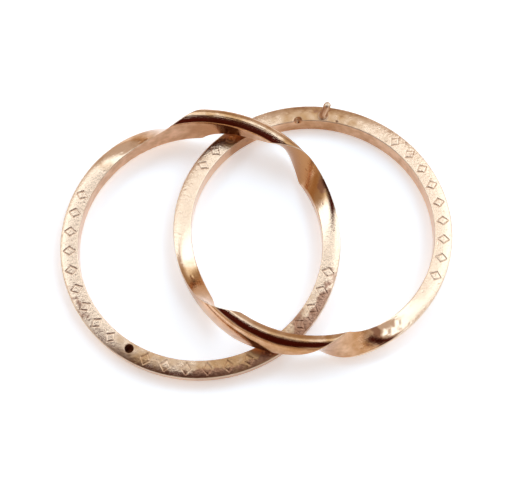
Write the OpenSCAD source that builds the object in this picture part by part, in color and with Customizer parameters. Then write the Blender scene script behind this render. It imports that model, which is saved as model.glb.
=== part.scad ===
// Gimmel ring: two linked hoops, each one half of a single band, lying open side by side.
// Millimetres, +Z up. The origin is midway between the hoops, on the surface they lie on.

/* [Band] */
// inner diameter, where the finger goes
inner_d = 18.2; // [15:0.1:22]
// thickness of the band, from the finger to the outside
band_t = 1.35; // [1.1:0.05:1.8]
// width of the closed band, both hoops together
band_w = 3.1; // [2.6:0.1:4.2]
// how far the rounded inner edge takes off the height of the inner wall, each side
edge_drop = 0.1; // [0.04:0.02:0.3]
// how far the rounded inner edge reaches into the flat side
edge_reach = 0.24; // [0.1:0.02:0.35]
// how far from the inner wall the flat side ends and the convex outside starts
side_reach = 0.75; // [0.45:0.05:0.9]

/* [Cut between the hoops] */
// clearance between the two mating faces when the ring is closed
face_gap = 0.1; // [0.06:0.01:0.2]
// angle each way from the middle of the flipped arc over which the cut turns half round
twist_span = 78; // [66:1:88]

/* [Peg and hole] */
// diameter of the peg
peg_d = 0.45; // [0.3:0.05:0.6]
// metal left under the hole, which sets how deep the hole is and how far the peg stands up
hole_floor = 0.15; // [0.1:0.05:0.6]
// angle of the peg and of the hole from the middle of the flipped arc
peg_angle = 167; // [130:1:178]
// how far the peg and the hole sit inwards from the middle of the face
peg_inset = 0.15; // [0:0.05:0.3]
// clearance all round the peg in its hole
peg_clear = 0.1; // [0.05:0.01:0.15]
// clearance under the tip of the peg
tip_clear = 0.06; // [0.04:0.01:0.1]
// how far the solder collar stands out round the foot of the peg
collar_w = 0.08; // [0.04:0.01:0.09]
// height of the solder collar above the mating face
collar_h = 0.14; // [0.08:0.01:0.2]

/* [Dent] */
// diameter of the cup-shaped dent in the inner edge of the face of the peg hoop
dent_d = 0.7; // [0.4:0.05:0.9]
// angle of the dent from the middle of the flipped arc, on the side of the peg
dent_angle = 155; // [100:1:160]

/* [Layout] */
// distance between the middles of the two hoops
spread = 8.5; // [8:0.1:9.2]
// how far round each hoop the middle of its flipped arc lies from where it crosses the other
flip_offset = -1; // [-2:0.5:2]
// clearance between the hoops where one lies over the other
lay_gap = 0.2; // [0.18:0.01:0.35]

/* [Hidden] */
$fn = 96;
inner_r = inner_d / 2;
mid_r = inner_r + band_t / 2;
half_w = band_w / 2;
inner_u = -band_t / 2;
side_u = inner_u + side_reach;
peg_r = mid_r - peg_inset;
hole_d = peg_d + 2 * peg_clear;
hole_depth = half_w - face_gap / 2 - hole_floor;
peg_rise = hole_depth - tip_clear;
collar_d = peg_d + 2 * collar_w;
// how far the peg's foot goes into the hoop that carries it
foot = 0.3;
// steps round the arc where the cut turns, and round the plain rest of the hoop
turn_steps = 56;
plain_steps = 10;
// how far the cut runs inside the band each way, and how far its tool reaches
cut_r = norm([band_t / 2, half_w]);
reach = 2 * cut_r;
gold = [0.86, 0.62, 0.46];

// outline of the closed band, u outward from its middle and v along its width
function rounded_edge(b) = [
    inner_u + edge_reach * (1 - cos(b)),
    half_w - edge_drop * (1 - sin(b))
];
function convex_side(b) = [
    side_u + (band_t / 2 - side_u) * sqrt(cos(b)),
    half_w * pow(sin(b), 0.75)
];
upper_outline = concat(
    [for (b = [0 : 30 : 90]) rounded_edge(b)],
    [for (b = [90 : -10 : 0]) convex_side(b)]
);
last = len(upper_outline) - 1;
outline = concat(
    upper_outline,
    [for (i = [last - 1 : -1 : 0]) [upper_outline[i].x, -upper_outline[i].y]]
);

// how far the cut has turned at angle a from the middle of the flipped arc
function turned(a) = 180 + 180 * sin(90 * max(-1, min(1, a / twist_span)));

// where the hoops cross, as an angle from the line between their middles
cross_angle = acos(spread / 2 / mid_r);
flip_angle = cross_angle + flip_offset;
// half the length of the crossing, as an angle round the hoop, and how far the face dips there
cross_reach = atan(band_t / 2 * tan(cross_angle) / mid_r) + abs(flip_offset);
cross_dip = band_t / 2 * tan(turned(cross_reach));
// how much each hoop leans up towards its flipped arc, so that this lies over the other hoop
lean = asin((cross_dip + lay_gap - face_gap) / mid_r / (1 - cos(2 * cross_angle)));
// lowest level of a leaning hoop below its own middle, which lifts it onto the surface
lay_height = max([for (p = outline) (mid_r + p.x) * sin(lean) - p.y * cos(lean)]);

// a point of the cutting tool: s along the cut and d away from the hoop that stays
function tool_point(a, s, d) =
    let (
        turn = turned(a),
        u = s * cos(turn) - d * sin(turn),
        v = s * sin(turn) + d * cos(turn)
    )
    [(mid_r + u) * cos(a), (mid_r + u) * sin(a), v];

// places along the cut on the tool's section
cut_places = concat([-reach], [for (i = [-3 : 3]) cut_r * i / 3], [reach]);
tool_angles = concat(
    [for (i = [0 : turn_steps]) twist_span * (2 * i / turn_steps - 1)],
    [for (i = [1 : plain_steps - 1]) twist_span + (360 - 2 * twist_span) * i / plain_steps]
);
function signed(a) = a > 180 ? a - 360 : a;
function tool_section(a) = concat(
    [for (s = cut_places) tool_point(a, s, -face_gap / 2)],
    [tool_point(a, reach, reach), tool_point(a, -reach, reach)]
);

module band() {
    rotate_extrude(angle = 360)
        translate([mid_r, 0])
            polygon(outline);
}

// all that lies beyond the mating face, which turns once round along the hoop
module cutting_tool() {
    sections = [for (a = tool_angles) tool_section(signed(a))];
    n = len(sections);
    m = len(sections[0]);
    polyhedron(
        points = [for (s = sections) for (p = s) p],
        faces = [
            for (i = [0 : n - 1]) for (k = [0 : m - 1])
                let (j = (i + 1) % n, l = (k + 1) % m)
                for (f = [
                    [i * m + k, i * m + l, j * m + l],
                    [i * m + k, j * m + l, j * m + k]
                ]) f
        ],
        convexity = 6
    );
}

module half_band() {
    difference() {
        band();
        cutting_tool();
    }
}

// puts something at angle a and radius r on the mating face, with z along the face's normal
module on_face(a, r) {
    rotate([0, 0, a])
        translate([r, 0, -face_gap / 2])
            children();
}

// lays a hoop down, its flipped arc turned to angle a and leaning up
module laid(x, a) {
    translate([x, 0, lay_height])
        rotate([0, 0, a])
            rotate([0, -lean, 0])
                children();
}

module hole_hoop() {
    color(gold)
        laid(-spread / 2, flip_angle)
            difference() {
                half_band();
                on_face(peg_angle, peg_r)
                    translate([0, 0, -hole_depth])
                        cylinder(d = hole_d, h = hole_depth + 1);
            }
}

module peg() {
    translate([0, 0, -foot])
        cylinder(d = peg_d, h = foot + peg_rise - peg_d / 2);
    translate([0, 0, peg_rise - peg_d / 2])
        sphere(d = peg_d);
    translate([0, 0, -foot])
        cylinder(d = collar_d, h = foot + collar_h);
}

module peg_hoop() {
    color(gold)
        laid(spread / 2, flip_angle + 180)
            union() {
                difference() {
                    half_band();
                    on_face(-dent_angle, inner_r + dent_d / 8)
                        translate([0, 0, dent_d / 8])
                            sphere(d = dent_d);
                }
                on_face(-peg_angle, peg_r)
                    peg();
            }
}

hole_hoop();
peg_hoop();
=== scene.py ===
"""Looks of the gimmel ring: two linked rose-gold hoops, each half of one band, lying open."""
from functools import reduce
from operator import mul

import bpy
import numpy as np
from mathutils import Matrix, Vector


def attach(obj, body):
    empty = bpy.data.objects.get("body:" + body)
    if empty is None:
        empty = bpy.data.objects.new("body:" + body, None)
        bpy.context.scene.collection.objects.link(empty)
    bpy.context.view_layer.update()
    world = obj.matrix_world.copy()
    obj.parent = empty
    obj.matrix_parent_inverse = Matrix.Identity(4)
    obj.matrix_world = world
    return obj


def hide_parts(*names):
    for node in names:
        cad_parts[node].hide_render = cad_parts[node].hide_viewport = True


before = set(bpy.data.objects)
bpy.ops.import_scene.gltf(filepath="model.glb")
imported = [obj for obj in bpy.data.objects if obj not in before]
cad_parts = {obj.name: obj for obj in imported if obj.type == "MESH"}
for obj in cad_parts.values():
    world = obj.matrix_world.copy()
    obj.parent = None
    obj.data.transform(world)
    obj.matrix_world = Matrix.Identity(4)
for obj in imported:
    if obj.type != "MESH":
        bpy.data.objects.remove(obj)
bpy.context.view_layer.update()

bl_info = {
    "name": "Gimmel ring",
    "version": (1, 0, 0),
    "blender": (4, 5, 0),
    "location": "View3D > Sidebar > Gimmel ring",
    "description": "Two linked hoops that close to a single band, with their finish and a studio",
    "category": "Add Mesh",
}


def length(name, description, default):
    """A size in metres that a user would change."""
    return bpy.props.FloatProperty(
        name=name, description=description, default=default, unit="LENGTH", precision=6
    )


def angle(name, description, default):
    """An angle that a user would change, given here in degrees."""
    return bpy.props.FloatProperty(
        name=name, description=description, default=np.radians(default), subtype="ANGLE"
    )


def colour(name, description, default):
    """A linear colour."""
    return bpy.props.FloatVectorProperty(
        name=name, description=description, default=default, size=3, subtype="COLOR"
    )


class BandSizes(bpy.types.PropertyGroup):
    """Sizes of the band, of the cut through it and of the peg."""

    inner_d: length("Inner diameter", "Where the finger goes", 0.0182)
    thickness: length("Thickness", "From the finger to the outside", 0.00135)
    width: length("Width", "Of the closed band, both hoops together", 0.0031)
    hole_side: length("Hole hoop's side", "From the wall to the side's highest line", 0.00072)
    peg_side: length("Peg hoop's side", "From the wall to the side's highest line", 0.0004)
    side_drop: length("Side drop", "How much lower the side is at the inner wall", 0.0001)
    edge_drop: length("Edge drop", "Height that the rounded inner edge takes off", 0.00005)
    face_gap: length("Face gap", "Between the mating faces of the closed ring", 0.0001)
    twist_span: angle("Twist span", "Each way from the flipped arc's middle", 78)
    crest_radius: length("Crest rounding", "Of the edges between face, wall and outside", 0.00008)
    crown: length("Crown", "How much lower the worn face is at its outer edge", 0.00009)
    inner_crown: length("Inner crown", "How much lower the face is at its inner edge", 0.00003)
    groove_depth: length("Groove depth", "Of the engraved border on the faces", 0.00004)
    groove_width: length("Groove width", "Of one engraved stroke", 0.00009)
    ripple: length("Ripple", "Height of the hand-filed unevenness of all surfaces", 0.000002)
    peg_d: length("Peg diameter", "Across the peg", 0.00055)
    peg_inset: length("Peg inset", "Of the peg and hole from the middle of the face", 0.00015)
    peg_angle: angle("Peg angle", "Of the peg and hole from the flipped arc's middle", 167)
    peg_lean: angle("Peg lean", "How far the peg is bent outward", 13)
    peg_slant: angle("Peg slant", "How far the peg is bent along the hoop", -11)
    hole_d: length("Hole diameter", "Across the hole", 0.00065)
    hole_floor: length("Hole floor", "Metal left under the hole", 0.00015)
    tip_clear: length("Tip clearance", "Under the peg in its hole", 0.00006)
    dent_d: length("Dent diameter", "Of the cup-shaped dent in the peg hoop", 0.0007)
    dent_angle: angle("Dent angle", "From the flipped arc's middle", 155)


class LaySizes(bpy.types.PropertyGroup):
    """How the two hoops lie."""

    spread: length("Spread", "Between the middles of the hoops", 0.0085)
    flip_offset: angle("Flip offset", "From the crossing to the flipped arc's middle", -1)
    lay_gap: length("Lay gap", "Between the hoops where one lies over the other", 0.0002)


class FinishColours(bpy.types.PropertyGroup):
    """Colours of the metal."""

    gold: colour("Gold", "Clean rose gold", (0.76, 0.478, 0.302))
    # brown of tarnish, also used as painted shade where the hoops cross
    copper: colour("Copper", "Brown tarnish on the gold", (0.46, 0.215, 0.085))
    # pale tint of rubbed edges and the peg, partly a painted highlight on them
    polish_and_highlight: colour("Polish", "Rubbed edges and the peg", (0.92, 0.76, 0.58))
    # dark brown of old dirt in grooves and pits, also used as painted shade where the hoops cross
    patina_and_shade: colour("Patina", "Old dirt in grooves and pits", (0.30, 0.12, 0.065))


class StudioColours(bpy.types.PropertyGroup):
    """What the metal mirrors."""

    softbox: colour("Softbox", "Bright panels overhead", (1.9, 2.6, 3.35))
    room: colour("Room", "Pale surroundings", (0.69, 0.69, 0.69))
    warm: colour("Warm side", "Golden surroundings low on the left and right", (0.62, 0.46, 0.28))
    dark: colour("Dark side", "Dim brown room behind the camera", (0.075, 0.010, 0.005))
    floor: colour("Floor", "Pale table", (0.95, 0.925, 0.89))


# Shape of the band

# points round the outside and across the side of the outline, and the powers of their curves
OUTSIDE_POINTS = 120
SIDE_POINTS = 60
SIDE_SPACING = 1.5
OUTWARD_POWER = 0.5
RISE_POWER = 0.75
SIDE_POWER = 1.6
EDGE_POWER = 12
# how fast the outside bends down past the side's highest line, per metre
SIDE_BEND = 260
# points of the outline that lie closer than this are one
SAME_POINT = 1e-9
# sections round a hoop, how densely they lie on the plain arc and on the twist, how fast that
# changes, per radian, and how many angles it is worked out at
COLUMNS = 1120
PLAIN_DENSITY = 2.4
TWIST_DENSITY = 1.2
DENSITY_CHANGE = 30
FINE_ANGLES = 20001
# rows of a section: across the face, round each of its rounded edges and round the outside
FACE_ROWS = 38
EDGE_ROWS = 4
OUTSIDE_ROWS = 39
ROWS = FACE_ROWS + OUTSIDE_ROWS + 2 * EDGE_ROWS
# powers by which the worn face drops towards its outer and its inner edge
CROWN_POWER = 4.5
INNER_POWER = 2.2
# the most of the face's width that the rounding of an edge takes
CREST_SHARE = 0.2
# how much the rows round the outside crowd towards its ends
END_CROWDING = 0.6


def middle_radius(size):
    """Radius of the line midway between the finger and the outside."""
    return size.inner_d / 2 + size.thickness / 2


def band_outline(size, side_reach):
    """Closed outline of the D-shaped band, anticlockwise, u outward and v along the width, with
    its running length. Outside: u grows as the square root of cos b, v as sin b to the power
    0.75, less a shallow parabola. Side: falls towards the inner wall by a power of the share
    across it, and by a much higher power for the rounded inner edge."""
    half_w, half_t = size.width / 2, size.thickness / 2
    side_u = side_reach - half_t
    b = np.linspace(0, np.pi / 2, OUTSIDE_POINTS)
    past = (half_t - side_u) * np.cos(b) ** OUTWARD_POWER
    rise = half_w * np.sin(b) ** RISE_POWER - SIDE_BEND * past**2 * np.sin(b)
    x = np.linspace(1, 0, SIDE_POINTS) ** SIDE_SPACING
    side = half_w - size.side_drop * (1 - x) ** SIDE_POWER
    side = side - size.edge_drop * (1 - x) ** EDGE_POWER
    upper = np.concatenate(
        [np.stack([side_u + past, rise], 1), np.stack([side_reach * x - half_t, side], 1)]
    )
    closed = np.concatenate([upper, upper[::-1] * [1, -1]])
    closed = closed[steps_of(closed) > SAME_POINT]
    run = np.concatenate([[0], np.cumsum(steps_of(closed))])
    return np.concatenate([closed, closed[:1]]), run


def steps_of(closed):
    """Distance from each point of a closed line to the next."""
    return np.linalg.norm(np.roll(closed, -1, 0) - closed, axis=1)


def cut_turn(size, a):
    """How far the cut has turned at angle a from the flipped arc's middle: half a turn there,
    and a sine from nothing at one end of the twist to a whole turn at the other."""
    return np.pi + np.pi * np.sin(np.pi / 2 * np.clip(a / size.twist_span, -1, 1))


def column_angles(size):
    """Angles of the sections, whose density goes from one value on the plain arc to another on
    the twist by a logistic curve."""
    fine = np.linspace(-np.pi, np.pi, FINE_ANGLES)
    twist = 1 / (1 + np.exp((np.abs(fine) - size.twist_span) * DENSITY_CHANGE))
    density = PLAIN_DENSITY * (1 - twist) + TWIST_DENSITY * twist
    run = np.concatenate([[0], np.cumsum((density[1:] + density[:-1]) / 2)])
    return np.interp(np.arange(COLUMNS) / COLUMNS, run / run[-1], fine)


def bezier(a, corner, b, rows):
    """Rounds a corner: the parabola from a to b whose tangents meet at the corner, without its
    last point."""
    t = (np.arange(rows) / rows)[None, :, None]
    a, corner, b = a[:, None], corner[:, None], b[:, None]
    return (1 - t) ** 2 * a + 2 * t * (1 - t) * corner + t**2 * b


def hoop_sections(size, a, side_reach):
    """Sections of one hoop, (column, row, uv): the mating face from the outer edge to the inner
    one, then the band's outline on the metal's side of the cut, with the two corners between
    them rounded. Towards each of its edges the face drops by that edge's crown times a power of
    the share of the way there, and on the twist it is flat."""
    outline, run = band_outline(size, side_reach)
    turn = cut_turn(size, a)[:, None]
    normal = np.concatenate([-np.sin(turn), np.cos(turn)], 1)
    beyond = normal @ outline[:-1].T + size.face_gap / 2
    inside = beyond < 0
    after = np.roll(inside, -1, 1)

    def crossing(change):
        """Where along the outline the cut meets it: between the changing point and the next."""
        k = np.argmax(change, 1)
        here = np.take_along_axis(beyond, k[:, None], 1)[:, 0]
        there = np.take_along_axis(np.roll(beyond, -1, 1), k[:, None], 1)[:, 0]
        return run[k] + here / (here - there) * (run[k + 1] - run[k])

    def at(s):
        """Point of the outline at a running length."""
        s = np.mod(s, run[-1])
        return np.stack([np.interp(s, run, outline[:, 0]), np.interp(s, run, outline[:, 1])], -1)

    enter, leave = crossing(~inside & after), crossing(inside & ~after)
    metal = np.mod(leave - enter, run[-1])
    first, last = at(enter), at(leave)
    span = np.linalg.norm(first - last, axis=1)[:, None]
    plain = (1 + np.cos(turn)) / 2
    crest = np.minimum(size.crest_radius, CREST_SHARE * span)
    towards = (first - last) / span
    w = np.linspace(0, 1, FACE_ROWS + 1)[None, :, None]
    drop = size.crown * (1 - w) ** CROWN_POWER + size.inner_crown * w**INNER_POWER
    drop = plain[..., None] * drop
    start, end = last + towards * crest, first - towards * crest
    face = start[:, None] * (1 - w) + end[:, None] * w - normal[:, None] * drop
    q = np.linspace(0, 1, OUTSIDE_ROWS + 1)
    q = END_CROWDING * (0.5 - 0.5 * np.cos(np.pi * q)) + (1 - END_CROWDING) * q
    low = enter[:, None] + size.crest_radius + size.inner_crown * plain
    high = (enter + metal)[:, None] - size.crest_radius - size.crown * plain
    outside = at(low + q[None, :] * (high - low))
    inner_corner = first - normal * size.inner_crown * plain
    outer_corner = last - normal * size.crown * plain
    loop = [
        face[:, :-1],
        bezier(face[:, -1], inner_corner, outside[:, 0], EDGE_ROWS),
        outside[:, :-1],
        bezier(outside[:, -1], outer_corner, face[:, 0], EDGE_ROWS),
    ]
    return np.concatenate(loop, 1)


def hoop_points(size, a, sections):
    """Carries the sections round the hoop: a point (u, v) at angle a goes to radius middle + u
    and height v."""
    r = middle_radius(size) + sections[..., 0]
    return np.stack([r * np.cos(a)[:, None], r * np.sin(a)[:, None], sections[..., 1]], -1)


def crown_drop(size, r):
    """How much lower the plain face is at radius r."""
    across = np.clip((r - size.inner_d / 2) / size.thickness, 0, 1)
    return size.crown * across**CROWN_POWER + size.inner_crown * (1 - across) ** INNER_POWER


# Peg, hole and dent

# rings over which a turned feature eases back to the grid of the face
EASE_RINGS = 3
# the hole's rings, from the middle of its floor to its rim, in its own radii and depths
HOLE_RADII = [0, 0.4, 0.8, 1, 1, 1, 1.02, 1.1]
HOLE_DEPTHS = [1.04, 1.02, 1, 0.96, 0.5, 0.06, 0.015, 0]
# the outer rings of the hole that hold no dirt
HOLE_RIM_RINGS = 2
# the peg's tip: angles of its rings in degrees, powers that round it, height in its own radii
TIP_ANGLES = [0, 22, 44, 66, 86]
TIP_RADIUS_POWER = 0.6
TIP_HEIGHT_POWER = 0.8
TIP_HEIGHT = 0.7
# the rings of the peg's shaft and of the solder at its foot, in radii of the peg
SHAFT_RADII = [1, 1.02, 1.12, 1.32, 1.45]
SHAFT_HEIGHTS = [1.2, 0.75, 0.5, 0.3, 0.02]
# reach and depth of the dent, in its own diameters
DENT_REACH = 0.6
DENT_DEPTH = 0.3


def square_to_disc(rings):
    """Grid offsets of a square patch, with each point's ring and its direction when the rings
    are drawn as circles: points keep equal steps round each ring."""
    k = np.arange(-rings, rings + 1)
    i, j = np.meshgrid(k, k, indexing="ij")
    ring = np.maximum(np.abs(i), np.abs(j))
    flat = np.abs(i) >= np.abs(j)
    phi = np.where(
        flat,
        np.pi / 4 * j / np.where(i == 0, 1, i),
        np.pi / 2 - np.pi / 4 * i / np.where(j == 0, 1, j),
    )
    phi = phi + np.where(np.where(flat, i, j) < 0, np.pi, 0)
    return i, j, ring, phi


def turned_feature(points, a, size, at_angle, profile, lean=(0, 0)):
    """Turns a square patch of the flat face's grid into rings round a point: the profile gives
    each ring's radius and its height above the face, and the last rings ease back to the grid.
    The rings shift along the hoop and outward with height, as a bent peg does. Returns the
    patch, the ring of each of its points and how many rings the profile has."""
    radii, heights = profile
    count = len(radii)
    radius = middle_radius(size) - size.peg_inset
    column = np.argmin(np.abs(a - at_angle))
    across = np.hypot(points[column, :FACE_ROWS, 0], points[column, :FACE_ROWS, 1])
    row = np.argmin(np.abs(across - radius))
    i, j, ring, phi = square_to_disc(count + EASE_RINGS)
    patch = (column + i, (row - j) % ROWS)
    r = np.interp(ring, np.arange(count), radii)
    r = r + np.maximum(ring - count + 1, 0) * (radii[-1] - radii[-2])
    h = np.interp(ring, np.arange(count), heights)
    out = np.array([np.cos(at_angle), np.sin(at_angle), 0])
    side = np.array([-np.sin(at_angle), np.cos(at_angle), 0])
    up = np.array([0, 0, 1.0])
    centre = radius * out - up * size.face_gap / 2
    flat = centre + (r * np.cos(phi))[..., None] * side + (r * np.sin(phi))[..., None] * out
    flat[..., 2] -= crown_drop(size, np.hypot(flat[..., 0], flat[..., 1]))
    made = flat + h[..., None] * (up + lean[0] * side + lean[1] * out)
    ease = np.clip((ring - count + 1) / (EASE_RINGS + 1), 0, 1)[..., None]
    ease = ease * ease * (3 - 2 * ease)
    points[patch] = made * (1 - ease) + points[patch] * ease
    return patch, ring, count


def hole_profile(size):
    """Radii and heights of the drilled hole's rings, from the middle of its floor to its rim."""
    depth = size.width / 2 - size.face_gap / 2 - size.hole_floor
    return size.hole_d / 2 * np.array(HOLE_RADII), -depth * np.array(HOLE_DEPTHS)


def peg_profile(size):
    """Radii and heights of the peg's rings: a rounded tip, the shaft, and the solder at its foot.
    In the tip the radius goes by a power of sin b and the drop by a power of cos b."""
    r = size.peg_d / 2
    rise = size.width / 2 - size.face_gap / 2 - size.hole_floor - size.tip_clear
    b = np.radians(TIP_ANGLES)
    tip_heights = rise - TIP_HEIGHT * r * (1 - np.cos(b) ** TIP_HEIGHT_POWER)
    radii = np.concatenate([r * np.sin(b) ** TIP_RADIUS_POWER, r * np.array(SHAFT_RADII)])
    return radii, np.concatenate([tip_heights, r * np.array(SHAFT_HEIGHTS)])


def press_dent(points, size):
    """Presses a cup into the inner edge of the face: points move down and outward, into the
    metal, by the square of one less the squared share of the cup's radius. Returns how deep
    each point lies in the cup, from 0 to 1."""
    where = np.array([np.cos(-size.dent_angle), np.sin(-size.dent_angle), 0])
    edge = where * size.inner_d / 2 - np.array([0, 0, size.face_gap / 2])
    share = np.linalg.norm(points - edge, axis=-1) / (size.dent_d * DENT_REACH)
    bowl = np.clip(1 - share**2, 0, 1) ** 2
    points += (where - [0, 0, 1]) * (size.dent_d * DENT_DEPTH * bowl)[..., None]
    return bowl


# Engraving and wear

# the border: how often it repeats round a hoop, half a lozenge along and across the face, how
# much less wide a dot is than a stroke, how far a pair's dots lie from the border's line and how
# far that line lies inside the face's middle, in metres, and the angle over which it fades out
BORDER_REPEATS = 40
LOZENGE = (0.00034, 0.00044)
DOT_TRIM = 0.00001
PAIR_OFFSET = 0.00017
BORDER_INSET = 0.00002
BORDER_FADE = 0.05
# random pits: how many, and the ranges of their angles, shares across, radii and depths
PITS = 90
PIT_RANGES = [(-np.pi, np.pi), (0.05, 0.95), (0.00004, 0.00009), (0.000005, 0.00002)]
# radians and metres in the units of a spot's angle, share across, radius and depth
SPOT_UNITS = [np.pi / 180, 1, 0.001, 0.001]
# how deep a pit is before it holds dirt, and how much deeper when it is full of it
CLEAN_DEPTH = 0.000012
DIRT_DEPTH = 0.00003
# waves of the uneven surface: how many, the radius at which their lengths are taken, the
# shortest and longest of the ripple and of the dimples, the dimples' share of the ripple's
# height, and what is added to the seed for them
WAVES = 28
WAVE_RADIUS = 0.0098
RIPPLE_LENGTHS = (0.002, 0.008)
DIMPLE_LENGTHS = (0.00035, 0.0012)
DIMPLE_SHARE = 0.4
DIMPLE_SEED = 50
# the face's satin: how much is left in the twist, the angle in radians over which it fades,
# how far inside the twist it has faded, in such angles, and how satin the peg is
TWIST_SATIN = 0.15
SATIN_FADE = 0.3
SATIN_LEAD = 1.2
PEG_SATIN = 0.4
# how much the face's inner edge and the peg are rubbed and painted with a highlight, where the
# outer edge is 1
INNER_RUB_AND_HIGHLIGHT = 0.4
PEG_RUB_AND_HIGHLIGHT = 0.5
# how much dirt the hole, the dent and the peg's foot hold, where a full groove is 1
HOLE_DIRT = 1.3
DENT_DIRT = 0.35
FOOT_DIRT = 0.9
# how far outward from the inner wall its stains and painted shade reach and over what
# length they fade, in metres
WALL_REACH = 0.00012
WALL_FADE = 0.00008
# how far in from the face's outer edge its darkening reaches and over what share of the face it
# fades
DARKENING_REACH = 0.72
DARKENING_FADE = 0.4
# how much the grain is drawn out along the hoop
STREAK = 0.05

# Each hoop's own marks, with angles in degrees from the flipped arc's middle. A stretch of
# border is given by its ends, a spot by its angle, share across the face, radius and depth in
# millimetres, and a hump of tarnish, of darkening or of painted shade by its angle, half width and
# amount.
HOLE_HOOP = {
    "seed": 11,
    "border": [(81, 161), (172, 279)],
    "spots": [
        (46, 0.95, 0.16, 0.05),
        (49, 0.75, 0.1, 0.04),
        (-31, 0.5, 0.06, 0.03),
        (-35, 0.4, 0.07, 0.03),
        (-37, 0.6, 0.05, 0.03),
    ],
    # tarnish, and at -125 painted shade where the hoops cross
    "stains_and_shade": [
        (-30, 14, 1.1),
        (-45, 8, 1.2),
        (5, 30, 0.75),
        (-138, 45, 0.88),
        (176, 22, 0.7),
        (-125, 8, 1.3),
    ],
    # tarnish on the inner wall, and at 6 painted shade where the hoops cross
    "wall_stains_and_shade": [(10, 30, 0.9), (6, 8, 1.3), (60, 90, 0.6)],
    "face_stains": [(46, 9, 0.75), (67, 7, 0.5)],
    # darker patches on the outer half of the face, and at -125 painted shade where the hoops cross
    "face_darkening": [
        (-155, 20, 1.05),
        (-125, 16, 1.0),
        (-104, 17, 1.5),
        (-45, 3.5, 1.2),
        (136, 13, 0.5),
    ],
    # painted shade round whole sections where the hoops cross
    "section_darkening": [(-126, 6, 0.45), (-113, 8, 0.85)],
}
PEG_HOOP = {
    "seed": 12,
    "border": [(81, 163), (235, 262)],
    "spots": [
        (-173.8, 0.97, 0.15, 0.06),
        (-47, 0.45, 0.12, 0.04),
        (32, 0.5, 0.05, 0.03),
        (35, 0.35, 0.06, 0.03),
        (49, 0.6, 0.35, 0.012),
        (53, 0.35, 0.3, 0.012),
        (56, 0.65, 0.3, 0.012),
        (59, 0.45, 0.25, 0.01),
    ],
    # tarnish, painted shade at -125 where the hoops cross, and partly painted shade at 38
    "stains_and_shade": [(-44, 12, 1.0), (10, 43, 0.75), (38, 14, 0.72), (-165, 35, 0.76), (-125, 8, 1.3)],
    "wall_stains_and_shade": [(0, 40, 0.7), (180, 60, 0.6)],
    "face_stains": [(47, 4, 0.5)],
    # darker patches on the outer half of the face, and at -125 painted shade where the hoops cross
    "face_darkening": [(-125, 20, 0.7), (-165, 20, 0.4), (50, 8, 0.7), (150, 20, 0.4)],
    # painted shade round whole sections where the hoops cross, and a narrow dark band at 46.5
    "section_darkening": [(-126, 6, 0.3), (46.5, 2.5, 1.0)],
}


def waves(u, v, seed, shortest, longest):
    """Seamless unevenness from -1 to 1 or so: a sum of sine waves, u along the hoop as an angle
    with a whole number of waves round it, v across in metres, lengths in metres."""
    rng = np.random.default_rng(seed)
    lengths = 1 / rng.uniform(1 / longest, 1 / shortest, WAVES)
    way = rng.uniform(0, 2 * np.pi, WAVES)
    phase = rng.uniform(0, 2 * np.pi, WAVES)
    total = 0
    for one, turn, start in zip(lengths, way, phase):
        rounds = np.round(2 * np.pi * WAVE_RADIUS / one * np.cos(turn))
        total = total + np.sin(rounds * u + 2 * np.pi / one * np.sin(turn) * v + start)
    return total / np.sqrt(WAVES)


def border(along, across, pitch):
    """Distance from the strokes of a plain engraved border: outlined lozenges with a dot in
    each, and two dots between one and the next. A lozenge is the line on which the shares of
    its half width and half height add up to 1."""
    x = np.mod(along, pitch) - pitch / 2
    between = np.mod(along + pitch / 2, pitch) - pitch / 2
    wide, tall = LOZENGE
    scale = wide * tall / np.hypot(wide, tall)
    lozenge = np.abs(np.abs(x) / wide + np.abs(across) / tall - 1) * scale
    dot = np.hypot(x, across) + DOT_TRIM
    pair = np.hypot(between, np.abs(across) - PAIR_OFFSET) + DOT_TRIM
    return np.minimum(np.minimum(lozenge, dot), pair)


def span_mask(a, first, last):
    """1 where an angle lies between two, given in degrees, going up, past 180 too."""
    return np.mod(np.degrees(a) - first, 360) < np.mod(last - first, 360)


def engraved(points, size, around, stretches):
    """How deep each point lies in a stroke of the border: 1 on its middle line and falling in a
    straight line to 0 at its edges."""
    middle = middle_radius(size)
    across = np.hypot(points[..., 0], points[..., 1]) - middle
    pitch = 2 * np.pi * middle / BORDER_REPEATS
    distance = border(around * middle, across + BORDER_INSET, pitch)
    stroke = np.clip(1 - distance / (size.groove_width / 2), 0, 1)
    return stroke * np.any([span_mask(around, *stretch) for stretch in stretches], 0)


def pitted(size, a, seed, spots):
    """Depth in metres and dirt from 0 to 1 of the face's pits, small ones in random places and
    a hoop's own spots. Each is a paraboloid, and the deeper it is the more dirt it holds."""
    rng = np.random.default_rng(seed)
    small = np.stack([rng.uniform(low, high, PITS) for low, high in PIT_RANGES], 1)
    share = np.arange(ROWS)[None, :] / FACE_ROWS
    depth, darker = np.zeros((2, COLUMNS, ROWS))
    for where, over, wide, deep in np.concatenate([small, np.array(spots) * SPOT_UNITS]):
        away = (np.mod(a - where + np.pi, 2 * np.pi) - np.pi) * middle_radius(size)
        near = np.nonzero(np.abs(away) < wide)[0]
        gap = np.hypot(away[near, None], (share - over) * size.thickness)
        bowl = np.clip(1 - (gap / wide) ** 2, 0, 1)
        depth[near] = np.maximum(depth[near], deep * bowl)
        held = np.clip((deep - CLEAN_DEPTH) / DIRT_DEPTH, 0, 1)
        darker[near] = np.maximum(darker[near], bowl * held)
    return depth, darker


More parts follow.
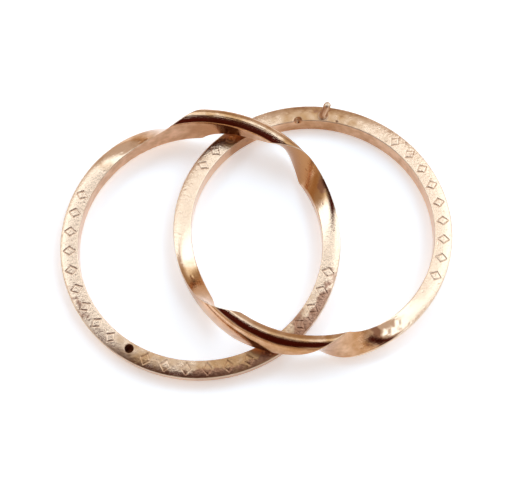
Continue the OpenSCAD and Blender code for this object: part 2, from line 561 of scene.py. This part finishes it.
def carve(points, size, a, wear):
    """Files, engraves and wears a hoop: moves its points in along their normals by ripple,
    border, pits and nicks. Returns how much dirt its grooves and pits hold, from 0 to 1."""
    around = a[:, None] * np.ones(ROWS)
    row = np.arange(ROWS)
    on_face = ((row > 0) & (row < FACE_ROWS)) * 1.0
    plain = np.clip((np.abs(a) - size.twist_span) / BORDER_FADE, 0, 1)[:, None]
    stroke = engraved(points, size, around, wear["border"]) * on_face * plain
    pit, darker = pitted(size, a, wear["seed"], wear["spots"])
    run = np.cumsum(np.linalg.norm(points - np.roll(points, 1, 1), axis=-1), 1)
    uneven = waves(around, run, wear["seed"], *RIPPLE_LENGTHS)
    dimpled = waves(around, run, wear["seed"] + DIMPLE_SEED, *DIMPLE_LENGTHS)
    dimpled = dimpled * on_face * plain
    depth = np.maximum(size.groove_depth * stroke, pit * on_face)
    depth = depth + size.ripple * (uneven + DIMPLE_SHARE * dimpled + 1)
    points -= grid_normals(points) * depth[..., None]
    return np.maximum(stroke, darker * on_face)


def grid_normals(points):
    """Unit normals of a grid that wraps both ways, outward."""
    right = np.roll(points, -1, 0) - np.roll(points, 1, 0)
    up = np.roll(points, -1, 1) - np.roll(points, 1, 1)
    n = np.cross(right, up)
    return n / np.linalg.norm(n, axis=-1, keepdims=True)


def satin_rub_and_highlight(size, a):
    """How satin and how rubbed each point is: satin on the face, less so on the twist, and
    rubbed on the rounded edges, which also get a painted highlight."""
    row = np.arange(ROWS)
    plain = np.clip((np.abs(a) - size.twist_span) / SATIN_FADE + SATIN_LEAD, 0, 1)[:, None]
    satin = (row < FACE_ROWS + EDGE_ROWS) * (TWIST_SATIN + (1 - TWIST_SATIN) * plain)
    inner_edge = (row > FACE_ROWS) & (row < FACE_ROWS + EDGE_ROWS)
    outer_edge = row > ROWS - EDGE_ROWS
    return satin, (INNER_RUB_AND_HIGHLIGHT * inner_edge + outer_edge) * np.ones((COLUMNS, 1))


def humps(a, places):
    """Soft humps over a few stretches, in degrees: bell curves, the highest of them at each
    section."""
    total = np.zeros((len(a), 1))
    for middle, half, amount in places:
        away = np.mod(np.degrees(a)[:, None] - middle + 180, 360) - 180
        total = np.maximum(total, amount * np.exp(-((away / half) ** 2)))
    return total


def stain_shade_and_darkening(size, a, sections, wear):
    """How much tarnish and how much darkening each point has. Tarnish, partly painted shade where
    the hoops cross, lies round whole sections, on the inner wall and on the face, and the
    darkening on the outer half of the face and, as painted shade, round whole sections where the
    hoops cross."""
    row = np.arange(ROWS)
    wall = np.clip((WALL_REACH - size.thickness / 2 - sections[..., 0]) / WALL_FADE, 0, 1)
    outer = np.clip((DARKENING_REACH - row / FACE_ROWS) / DARKENING_FADE, 0, 1)
    stain_and_shade = np.maximum(humps(a, wear["stains_and_shade"]), wall * humps(a, wear["wall_stains_and_shade"]))
    stain_and_shade = np.maximum(stain_and_shade, (row <= FACE_ROWS) * humps(a, wear["face_stains"]))
    darkening = np.maximum(outer * humps(a, wear["face_darkening"]), humps(a, wear["section_darkening"]))
    return stain_and_shade, darkening


def grain_places(size, a, sections):
    """Where each point takes its streaks from: its place in the section, moved with the angle
    round a small circle, so that streaks are long and meet where the hoop closes."""
    x = STREAK * middle_radius(size) * np.cos(a)[:, None]
    y = STREAK * middle_radius(size) * np.sin(a)[:, None] * np.ones(ROWS)
    return np.stack([sections[..., 0] + x, sections[..., 1], y], -1)


# Hoops in their places


def lay_values(size, lay, side_reach):
    """The flipped arc's direction, the lean and the height of a hoop's middle, by the same
    formulas as the solids: the lean lifts the flipped arc over the other hoop by a clearance."""
    middle = middle_radius(size)
    cross = np.arccos(lay.spread / 2 / middle)
    reach = np.arctan(size.thickness / 2 * np.tan(cross) / middle) + abs(lay.flip_offset)
    dip = size.thickness / 2 * np.tan(cut_turn(size, reach))
    lean = np.arcsin((dip + lay.lay_gap - size.face_gap) / middle / (1 - np.cos(2 * cross)))
    outline = band_outline(size, side_reach)[0]
    height = np.max((middle + outline[:, 0]) * np.sin(lean) - outline[:, 1] * np.cos(lean))
    return cross + lay.flip_offset, lean, height


def laid(points, x, turn, lean, height):
    """Leans a hoop up towards its flipped arc, turns it to its direction and sets it down."""
    out, side, up = np.moveaxis(points, -1, 0)
    c, s = np.cos(lean), np.sin(lean)
    out, up = c * out - s * up, s * out + c * up
    c, s = np.cos(turn), np.sin(turn)
    return np.stack([x + c * out - s * side, s * out + c * side, height + up], -1)


def grid_mesh(name, points, attributes):
    """A closed mesh from a grid of points that wraps both ways, faces outward, smooth, with
    point attributes."""
    columns, rows = points.shape[:2]
    index = np.arange(columns * rows).reshape(columns, rows)
    right, up = np.roll(index, -1, 0), np.roll(index, -1, 1)
    quads = np.stack([index, right, np.roll(right, -1, 1), up], -1).reshape(-1, 4)
    mesh = bpy.data.meshes.new(name)
    mesh.vertices.add(columns * rows)
    mesh.vertices.foreach_set("co", points.astype(np.float32).ravel())
    mesh.loops.add(quads.size)
    mesh.loops.foreach_set("vertex_index", quads.astype(np.int32).ravel())
    mesh.polygons.add(len(quads))
    mesh.polygons.foreach_set("loop_start", np.arange(len(quads), dtype=np.int32) * 4)
    mesh.polygons.foreach_set("loop_total", np.full(len(quads), 4, np.int32))
    mesh.polygons.foreach_set("use_smooth", np.ones(len(quads), bool))
    mesh.update(calc_edges=True)
    for key, values in attributes.items():
        kind, field = ("FLOAT", "value") if values.ndim == 2 else ("FLOAT_VECTOR", "vector")
        layer = mesh.attributes.new(key, kind, "POINT")
        layer.data.foreach_set(field, values.astype(np.float32).ravel())
    piece = bpy.data.objects.new(name, mesh)
    bpy.context.scene.collection.objects.link(piece)
    return piece


def add_hoop(name, node, size, lay, left):
    """One hoop in its place, as a mesh that stands for its node: the left one has the hole, the
    right one the dent and the peg."""
    wear = HOLE_HOOP if left else PEG_HOOP
    side_reach = size.hole_side if left else size.peg_side
    a = column_angles(size)
    sections = hoop_sections(size, a, side_reach)
    points = hoop_points(size, a, sections)
    groove = carve(points, size, a, wear)
    face, crest = satin_rub_and_highlight(size, a)
    if left:
        patch, ring, count = turned_feature(points, a, size, size.peg_angle, hole_profile(size))
        groove[patch] = np.where(ring < count - HOLE_RIM_RINGS, HOLE_DIRT, groove[patch])
    else:
        groove = np.maximum(groove, DENT_DIRT * press_dent(points, size))
        lean = (np.tan(size.peg_slant), np.tan(size.peg_lean))
        profile = peg_profile(size)
        patch, ring, count = turned_feature(points, a, size, -size.peg_angle, profile, lean)
        # the peg's pale tint is partly rubbed metal, partly a painted highlight
        crest[patch] = np.where(ring < count, PEG_RUB_AND_HIGHLIGHT, crest[patch])
        face[patch] = np.where(ring < count, PEG_SATIN, face[patch])
        groove[patch] = np.where(ring == count, FOOT_DIRT, groove[patch])
    stain_and_shade, darkening = stain_shade_and_darkening(size, a, sections, wear)
    marks = {
        "face": face,
        "crest": crest,
        "groove": groove,
        "stain_and_shade": stain_and_shade,
        "darkening": darkening,
        "grain": grain_places(size, a, sections),
    }
    flip, lean, height = lay_values(size, lay, side_reach)
    x, turn = (-lay.spread / 2, flip) if left else (lay.spread / 2, flip + np.pi)
    piece = grid_mesh(name, laid(points, x, turn, lean, height), marks)
    piece.data.materials.append(bpy.data.materials["rose gold"])
    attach(piece, "root")
    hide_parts(node)


# Finish

# scale and detail of each noise
FINE = (16000.0, 3.0)
DIMPLES = (5000.0, 4.0)
PATCHES = (1500.0, 5.0)
STREAKS = (14000.0, 3.0)
# what a noise is on average
AVERAGE = 0.5
# how much a noise makes the tarnish and painted shade patchy, and how much the darkening adds to a
# noise
PATCHY = 0.8
DARKENING_NOISE = 0.4
# where the tarnish and painted shade, the darkening and the specks start and where they are full
TARNISH_AND_SHADE_EDGE = (0.25, 0.9)
DARKENING_EDGE = (0.66, 0.84)
SPECK_EDGE = (0.66, 0.76)
# below how much stain and shade, and how much darkening, there is none, and where it is whole
STAIN_AND_SHADE_START = (0.0, 0.15)
DARKENING_START = (0.0, 0.2)
# how far each mark takes the colour of the metal to its own, and how clean a crest is kept; the
# crest's tint is partly a painted highlight, and the darkening's partly painted shade
TINTING = {"crest": 0.8, "clean": 0.9, "groove": 0.45, "darkening": 0.8, "speck": 0.5}
# what the plain metal and each mark add to the roughness
ROUGH = {
    "metal": 0.07,
    "face": 0.19,
    "patch": 0.1,
    "streak": 0.1,
    "tarnish_and_shade": 0.06,
    "groove": 0.15,
    "crest": 0.35,
}
# what each noise adds to the height of the bump, and how much more the dimples add where darkened
BUMPY = {"fine": 1.5, "dimple": 3.0, "darkened": 5.0, "streak": 1.5}
BUMP_STRENGTH = 0.6
BUMP_DISTANCE = 0.000008


class Socket:
    """A shader socket. Python's operators on it add Math nodes."""

    def __init__(self, shader, link):
        self.shader, self.link = shader, link

    def __add__(self, other):
        return self.shader.math("ADD", self, other)

    def __sub__(self, other):
        return self.shader.math("SUBTRACT", self, other)

    def __rsub__(self, other):
        return self.shader.math("SUBTRACT", other, self)

    def __mul__(self, other):
        return self.shader.math("MULTIPLY", self, other)

    __radd__ = __add__
    __rmul__ = __mul__


class Shader:
    """Builds one node tree."""

    def __init__(self, tree):
        self.tree = tree
        tree.nodes.clear()

    def add(self, kind, settings=None, *values, output=0, **named):
        """Adds a node of a kind, makes its settings, then sets or links its sockets, by order
        or by name, and returns one output. A value of None leaves its socket as it is."""
        node = self.tree.nodes.new(kind)
        for key, value in (settings or {}).items():
            setattr(node, key, value)
        pairs = list(enumerate(values)) + [(k.replace("_", " "), v) for k, v in named.items()]
        for key, value in pairs:
            if value is None:
                continue
            socket = node.inputs[key]
            if isinstance(value, Socket):
                self.tree.links.new(value.link, socket)
            elif isinstance(value, tuple) and len(value) == 3 and socket.type == "RGBA":
                socket.default_value = (*value, 1)
            else:
                socket.default_value = value
        return Socket(self, node.outputs[output]) if node.outputs else None

    def math(self, operation, *values):
        """A Math node."""
        return self.add("ShaderNodeMath", {"operation": operation}, *values)

    def mix(self, factor, a, b):
        """Mixes two colours, whose sockets follow the factor and five of other kinds."""
        settings = {"data_type": "RGBA"}
        return self.add("ShaderNodeMix", settings, factor, *[None] * 5, a, b, output=2)

    def step(self, value, low, high):
        """Rises smoothly from 0 at low to 1 at high."""
        settings = {"interpolation_type": "SMOOTHSTEP"}
        return self.add("ShaderNodeMapRange", settings, value, low, high, 0.0, 1.0)

    def noise(self, where, scale, detail):
        """Noise from 0 to 1 at a place."""
        return self.add("ShaderNodeTexNoise", None, Vector=where, Scale=scale, Detail=detail)

    def attribute(self, name, output="Fac"):
        """A point attribute of the mesh."""
        return self.add("ShaderNodeAttribute", {"attribute_name": name}, output=output)


def rose_gold(colours):
    """Worn rose gold: polished outside with fine lengthwise streaks, finely dimpled on the mating
    faces, paler on rubbed edges and the peg, partly as a painted highlight, browner in grooves and
    pits and where it has tarnished, with painted shade where the hoops cross, and darker in
    patches on the outer half of the face."""
    material = bpy.data.materials.new("rose gold")
    material.use_nodes = True
    s = Shader(material.node_tree)
    face, groove, crest = s.attribute("face"), s.attribute("groove"), s.attribute("crest")
    stain_and_shade, amount = s.attribute("stain_and_shade"), s.attribute("darkening")
    where = s.add("ShaderNodeTexCoord", output="Object")
    fine, patch, dimple = s.noise(where, *FINE), s.noise(where, *PATCHES), s.noise(where, *DIMPLES)
    streak = s.noise(s.attribute("grain", "Vector"), *STREAKS)

    # tarnish in patches, with painted shade where the hoops cross
    tarnish_and_shade = s.step(stain_and_shade + (patch - AVERAGE) * PATCHY, *TARNISH_AND_SHADE_EDGE)
    tarnish_and_shade = tarnish_and_shade * s.step(stain_and_shade, *STAIN_AND_SHADE_START)
    # darkening: painted shade where the hoops cross and darker patches on the outer half of the
    # face; it and the grooves take the colour of patina
    darkening = s.step(patch + amount * DARKENING_NOISE, *DARKENING_EDGE) * s.step(amount, *DARKENING_START)
    darker = s.math("MAXIMUM", groove * TINTING["groove"], darkening * TINTING["darkening"] * (1 - crest))
    speck = s.step(fine, *SPECK_EDGE) * face * TINTING["speck"]
    # paler on the rounded edges and the peg: rubbed metal, and a painted highlight
    tint = s.mix(crest * TINTING["crest"], tuple(colours.gold), tuple(colours.polish_and_highlight))
    tint = s.mix(tarnish_and_shade * (1 - crest * TINTING["clean"]), tint, tuple(colours.copper))
    tint = s.mix(darker, tint, tuple(colours.patina_and_shade))
    tint = s.mix(speck, tint, tuple(colours.patina_and_shade))

    rough = ROUGH["metal"] + face * ROUGH["face"] + face * (patch - AVERAGE) * ROUGH["patch"]
    rough = rough + (streak - AVERAGE) * ROUGH["streak"] + tarnish_and_shade * ROUGH["tarnish_and_shade"]
    rough = rough + groove * ROUGH["groove"] + crest * ROUGH["crest"]

    height = fine * BUMPY["fine"] + dimple * (BUMPY["dimple"] + amount * BUMPY["darkened"])
    height = height * face + streak * (1 - face) * BUMPY["streak"]
    bump = s.add(
        "ShaderNodeBump", None, Strength=BUMP_STRENGTH, Distance=BUMP_DISTANCE, Height=height
    )
    bsdf = s.add(
        "ShaderNodeBsdfPrincipled",
        None,
        Base_Color=tint,
        Metallic=1.0,
        Roughness=rough,
        Normal=bump,
    )
    s.add("ShaderNodeOutputMaterial", None, bsdf)


# Studio

# half the floor's side in metres, its roughness, and its glow
FLOOR_HALF = 4
FLOOR_ROUGHNESS = 0.9
FLOOR_GLOW = (1.0, 0.93, 0.86)
FLOOR_GLOW_STRENGTH = 0.4
# the photograph's camera, from a fit of both hoops' outlines: the way it looks and how high it
# stands, in degrees, its distance from its target and that target, in metres, its focal length
# and the picture's width in pixels, its sensor's width in millimetres, and how near and far it
# sees, in metres
CAMERA_AZIMUTH = 81.94
CAMERA_ELEVATION = 67.98
CAMERA_DISTANCE = 0.10402
CAMERA_TARGET = (-0.000323, -0.0008355, 0.00187)
CAMERA_FOCAL = 1399.3
PICTURE_WIDTH = 508
SENSOR_WIDTH = 36
CLIP_START, CLIP_END = 0.005, 10
# softness in degrees of an edge in the sky
SOFT = 4
# Edges of the studio's parts. Each runs from one place in the sky to another, with its
# softness, and has the part on its left. A place is given in degrees from the zenith to the
# photograph's right and away from the camera.
BELOW_LEFT = [((5, 9), (-6, 19.5), 3), ((-12, 16), (-34, -4), SOFT)]
LEFT_OF_STRIP = [((24, -22), (6, 20), 2)]
DARK_LEFT = [((-15, -67), (0, -54), SOFT), ((-50, 5), (-50, -5), 6)]
DARK_RIGHT = [
    ((50, -40), (25, -42), 3),
    ((46, -70), (44, 0), 2),
    ((25, -20), (25, -70), 2),
    ((20, -66), (50, -60), SOFT),
]
BEHIND_LEFT = [((0, 32), (-50, 30), SOFT), ((-38, 40), (-40, -20), 5), ((1, -20), (1, 50), 3)]
BEHIND_RIGHT = [
    ((5, 13), (60, 4), SOFT),
    ((30, 48), (4, 26), SOFT),
    ((3, 50), (3, -20), 3),
    ((52, -20), (50, 50), 6),
]
STRIP = [((35, -20), (18, 20), 2), ((0, -27), (60, -27), 2), ((60, 24), (0, 24), SOFT)]
WARM_LEFT = [((-45, -60), (-45, 60), 5)]
WARM_RIGHT = [((45, 75), (75, 35), 6)]
WARM_BEHIND = [((2, 60), (2, 20), 3), ((-30, 35), (30, 35), SOFT), ((30, 20), (30, 60), 8)]
# how warm the part far behind is, where the warm sides are 1
WARM_BEHIND_SHARE = 0.2
# heights, as the sine of the elevation, between which the pale table turns into the room
HORIZON = (0.07, 0.14)
HORIZON_TINT = (1.0, 0.98, 0.95)


def add_floor(colours):
    """A plain pale floor."""
    mesh = bpy.data.meshes.new("floor")
    signs = [(-1, -1), (1, -1), (1, 1), (-1, 1)]
    mesh.from_pydata([(x * FLOOR_HALF, y * FLOOR_HALF, 0) for x, y in signs], [], [(0, 1, 2, 3)])
    floor = bpy.data.objects.new("floor", mesh)
    bpy.context.scene.collection.objects.link(floor)
    material = bpy.data.materials.new("pale floor")
    material.use_nodes = True
    s = Shader(material.node_tree)
    bsdf = s.add(
        "ShaderNodeBsdfPrincipled",
        None,
        Base_Color=tuple(colours.floor),
        Roughness=FLOOR_ROUGHNESS,
        Emission_Color=FLOOR_GLOW,
        Emission_Strength=FLOOR_GLOW_STRENGTH,
    )
    s.add("ShaderNodeOutputMaterial", None, bsdf)
    mesh.materials.append(material)


def aim(azimuth, elevation):
    """Unit vector from the ring towards a place in the studio: azimuth anticlockwise from +X."""
    a, e = np.radians(azimuth), np.radians(elevation)
    return np.array([np.cos(e) * np.cos(a), np.cos(e) * np.sin(a), np.sin(e)])


def add_camera():
    """The photograph's view."""
    target = np.array(CAMERA_TARGET)
    place = target + aim(CAMERA_AZIMUTH + 180, CAMERA_ELEVATION) * CAMERA_DISTANCE
    data = bpy.data.cameras.new("camera")
    data.sensor_width = SENSOR_WIDTH
    data.lens = SENSOR_WIDTH * CAMERA_FOCAL / PICTURE_WIDTH
    data.clip_start, data.clip_end = CLIP_START, CLIP_END
    camera = bpy.data.objects.new("camera", data)
    camera.location = place
    camera.rotation_euler = Vector(target - place).to_track_quat("-Z", "Y").to_euler()
    bpy.context.scene.collection.objects.link(camera)
    bpy.context.scene.camera = camera


def sky_place(right, away):
    """Direction of a place in the sky, given in degrees from the zenith to the photograph's
    right and away from the camera."""
    far, turn = np.radians(np.hypot(right, away)), np.arctan2(away, right)
    turn += np.radians(CAMERA_AZIMUTH - 90)
    return np.array([np.sin(far) * np.cos(turn), np.sin(far) * np.sin(turn), np.cos(far)])


def sky_side(s, way, first, second, soft):
    """1 on the left of the great circle from one place in the sky to another, 0 on its right,
    with an edge that is soft over some degrees."""
    normal = np.cross(sky_place(*first), sky_place(*second))
    normal /= np.linalg.norm(normal)
    settings = {"operation": "DOT_PRODUCT"}
    dot = s.add("ShaderNodeVectorMath", settings, way, tuple(normal), output="Value")
    edge = float(np.sin(np.radians(soft)))
    return s.step(dot, -edge, edge)


def add_world(colours):
    """The studio round the ring: bright softboxes overhead and behind, a pale room, golden low
    down on the left and the right, a dim brown room behind the camera, and a pale table that
    goes on to the horizon."""
    world = bpy.data.worlds.new("studio")
    world.use_nodes = True
    s = Shader(world.node_tree)
    way = s.add("ShaderNodeTexCoord", output="Generated")

    def part(edges, *within):
        """1 within the given parts and on the left of all edges, 0 elsewhere."""
        return reduce(mul, [*within, *(sky_side(s, way, *edge) for edge in edges)])

    def either(a, b):
        """1 where either part is."""
        return s.math("MAXIMUM", a, b)

    below_left, left_of_strip = part(BELOW_LEFT), part(LEFT_OF_STRIP)
    dark = either(part(DARK_LEFT, below_left, left_of_strip), part(DARK_RIGHT))
    bright = either(part(STRIP, 1 - left_of_strip), part(BEHIND_LEFT, 1 - below_left))
    bright = either(bright, part(BEHIND_RIGHT))
    warm = either(part(WARM_LEFT), part(WARM_RIGHT))
    warm = either(warm, part(WARM_BEHIND) * WARM_BEHIND_SHARE)
    tint = s.mix(warm, tuple(colours.room), tuple(colours.warm))
    tint = s.mix(dark, tint, tuple(colours.dark))
    tint = s.mix(bright, tint, tuple(colours.softbox))
    height = s.add("ShaderNodeSeparateXYZ", None, way, output="Z")
    tint = s.mix(s.step(height, *HORIZON), HORIZON_TINT, tint)
    background = s.add("ShaderNodeBackground", None, Color=tint, Strength=1.0)
    s.add("ShaderNodeOutputWorld", None, background)
    bpy.context.scene.world = world


class RING_OT_finish(bpy.types.Operator):
    """Makes the rose gold"""

    bl_idname = "ring.finish"
    bl_label = "Rose gold"

    def execute(self, context):
        rose_gold(context.scene.ring_colours)
        return {"FINISHED"}


class RING_OT_hoops(bpy.types.Operator):
    """Adds the two linked hoops"""

    bl_idname = "ring.hoops"
    bl_label = "Hoops"

    def execute(self, context):
        size, lay = context.scene.ring_band, context.scene.ring_lay
        add_hoop("hole_hoop_gold", "hole_hoop", size, lay, left=True)
        add_hoop("peg_hoop_gold", "peg_hoop", size, lay, left=False)
        return {"FINISHED"}


class RING_OT_studio(bpy.types.Operator):
    """Adds the floor, the lights and the camera"""

    bl_idname = "ring.studio"
    bl_label = "Studio"

    def execute(self, context):
        add_floor(context.scene.ring_studio)
        add_world(context.scene.ring_studio)
        add_camera()
        context.scene.view_settings.view_transform = "Standard"
        return {"FINISHED"}


class RING_PT_panel(bpy.types.Panel):
    """Lists the ring's sizes, colours and operators"""

    bl_label = "Gimmel ring"
    bl_idname = "RING_PT_panel"
    bl_space_type = "VIEW_3D"
    bl_region_type = "UI"
    bl_category = "Gimmel ring"

    def draw(self, context):
        for name, kind in GROUPS.items():
            for key in kind.__annotations__:
                self.layout.prop(getattr(context.scene, name), key)
        for operator in (RING_OT_finish, RING_OT_hoops, RING_OT_studio):
            self.layout.operator(operator.bl_idname)


GROUPS = {
    "ring_band": BandSizes,
    "ring_lay": LaySizes,
    "ring_colours": FinishColours,
    "ring_studio": StudioColours,
}
CLASSES = [RING_OT_finish, RING_OT_hoops, RING_OT_studio, RING_PT_panel]


def register():
    for name, group in GROUPS.items():
        bpy.utils.register_class(group)
        setattr(bpy.types.Scene, name, bpy.props.PointerProperty(type=group))
    for kind in CLASSES:
        bpy.utils.register_class(kind)


def unregister():
    for kind in reversed(CLASSES):
        bpy.utils.unregister_class(kind)
    for name, group in GROUPS.items():
        delattr(bpy.types.Scene, name)
        bpy.utils.unregister_class(group)


def main():
    """Makes everything in order."""
    register()
    bpy.ops.ring.finish()
    bpy.ops.ring.hoops()
    bpy.ops.ring.studio()


if __name__ == "__main__":
    main()
